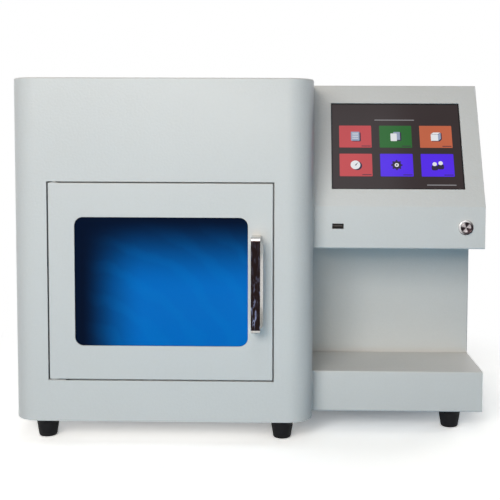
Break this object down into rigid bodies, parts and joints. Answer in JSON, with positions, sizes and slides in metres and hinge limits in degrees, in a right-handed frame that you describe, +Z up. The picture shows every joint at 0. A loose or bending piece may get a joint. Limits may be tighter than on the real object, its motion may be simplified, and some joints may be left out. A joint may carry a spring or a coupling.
{
  "type": "benchtop density meter",
  "caption": "Benchtop density meter: sheet metal cabinet with a windowed door over a gas measuring cell, and a side wing with a sloped touch display above an open niche.",
  "frame": {"origin": "middle of the whole footprint, on the bench", "axes": "+X to the right, +Y to the back, +Z up"},
  "size_m": [0.5608, 0.443, 0.425],
  "materials": {
    "powder_coat": "warm light grey powder coat with fine orange peel",
    "zinc_sheet": "zinc plated folded sheet",
    "chamber_steel": "brushed stainless steel",
    "fastener_steel": "plain steel",
    "handle_chrome": "polished chrome plate",
    "button_steel": "turned stainless steel",
    "port_steel": "bright plated steel",
    "machined_aluminium": "machined and anodised",
    "fitting_brass": "turned brass",
    "black_rubber": "moulded rubber",
    "window_blue": "deep blue tinted pane",
    "display_glass": "clear cover glass",
    "black_plastic": "moulded plastic",
    "white_plastic": "acetal",
    "board_green": "solder mask over laminate"
  },
  "bodies": {
    "cabinet": {"base_plate": "zinc_sheet", "board_standoffs": "zinc_sheet", "button_body": "button_steel", "button_spring": "fastener_steel", "cabinet_shell": "powder_coat", "case_screws": "fastener_steel", "catch_magnet": "black_plastic", "cell_block": "machined_aluminium", "cell_deck": "chamber_steel", "chamber_liner": "chamber_steel", "console_shell": "powder_coat", "control_board": "board_green", "corner_blocks": "zinc_sheet", "display_brackets": "zinc_sheet", "display_panel": "black_plastic", "door_jamb": "zinc_sheet", "fan_frame": "black_plastic", "fan_guard": "port_steel", "feet": "black_rubber", "gas_fittings": "fitting_brass", "gas_lines": "fastener_steel", "gas_manifold": "machined_aluminium", "lock_nuts": "fastener_steel", "mains_inlet": "black_plastic", "mains_pins": "port_steel", "niche_panel": "powder_coat", "pivot_brackets": "zinc_sheet", "pivot_pins": "fastener_steel", "port_shell": "port_steel", "port_tongue": "black_plastic", "power_supply": "machined_aluminium", "pressure_sensor": "chamber_steel", "rear_panel": "powder_coat", "reference_chamber": "machined_aluminium", "reference_plug": "machined_aluminium", "sample_cup": "chamber_steel", "shelf_box": "powder_coat", "temperature_probe": "chamber_steel", "touch_glass": "display_glass", "valve_bodies": "fastener_steel", "valve_coils": "black_plastic", "wing_bolts": "fastener_steel", "wing_rear_panel": "powder_coat", "wing_side_plate": "powder_coat"},
    "door": {"door_panel": "powder_coat", "window_gasket": "black_rubber", "window_pane": "window_blue", "door_inner_skin": "zinc_sheet", "door_seal": "black_rubber", "pivot_bushes": "white_plastic", "door_handle": "handle_chrome", "door_screws": "fastener_steel", "strike_plate": "zinc_sheet"},
    "cap": {"cap_plug": "machined_aluminium", "cap_seal_ring": "black_rubber", "cap_button": "machined_aluminium"},
    "knob": {"cap_knob": "machined_aluminium"},
    "button": {"button_cap": "button_steel"},
    "fan": {"fan_rotor": "black_plastic"},
    "drawer": {"fuse_drawer": "black_plastic"}
  },
  "joints": [
    {"name": "door_hinge", "type": "hinge", "parent": "cabinet", "child": "door", "pos_m": [-0.2291, -0.1885, 0.18885], "axis": [0, 0, -1], "range_deg": [0, 95]},
    {"name": "power_button", "type": "slide", "parent": "cabinet", "child": "button", "axis": [0, 1, 0], "range_m": [0, 0.0025], "stiffness_N_per_m": 800, "springref_m": -0.001},
    {"name": "cap_lift", "type": "slide", "parent": "cabinet", "child": "cap", "axis": [0, 0, 1], "range_m": [0, 0.012]},
    {"name": "cap_turn", "type": "hinge", "parent": "cap", "child": "knob", "pos_m": [-0.1089, -0.1265, 0.088], "axis": [0, 0, 1], "range_deg": [0, 720]},
    {"name": "fan_spin", "type": "hinge", "parent": "cabinet", "child": "fan", "pos_m": [-0.1039, 0.1905, 0.33], "axis": [0, 1, 0], "continuous": true},
    {"name": "fuse_drawer_slide", "type": "slide", "parent": "cabinet", "child": "drawer", "axis": [0, 1, 0], "range_m": [0, 0.015]}
  ],
  "couplings": [
    {"joint": "cap_lift", "follows": "cap_turn", "m_per_rad": 0.00095492}
  ]
}
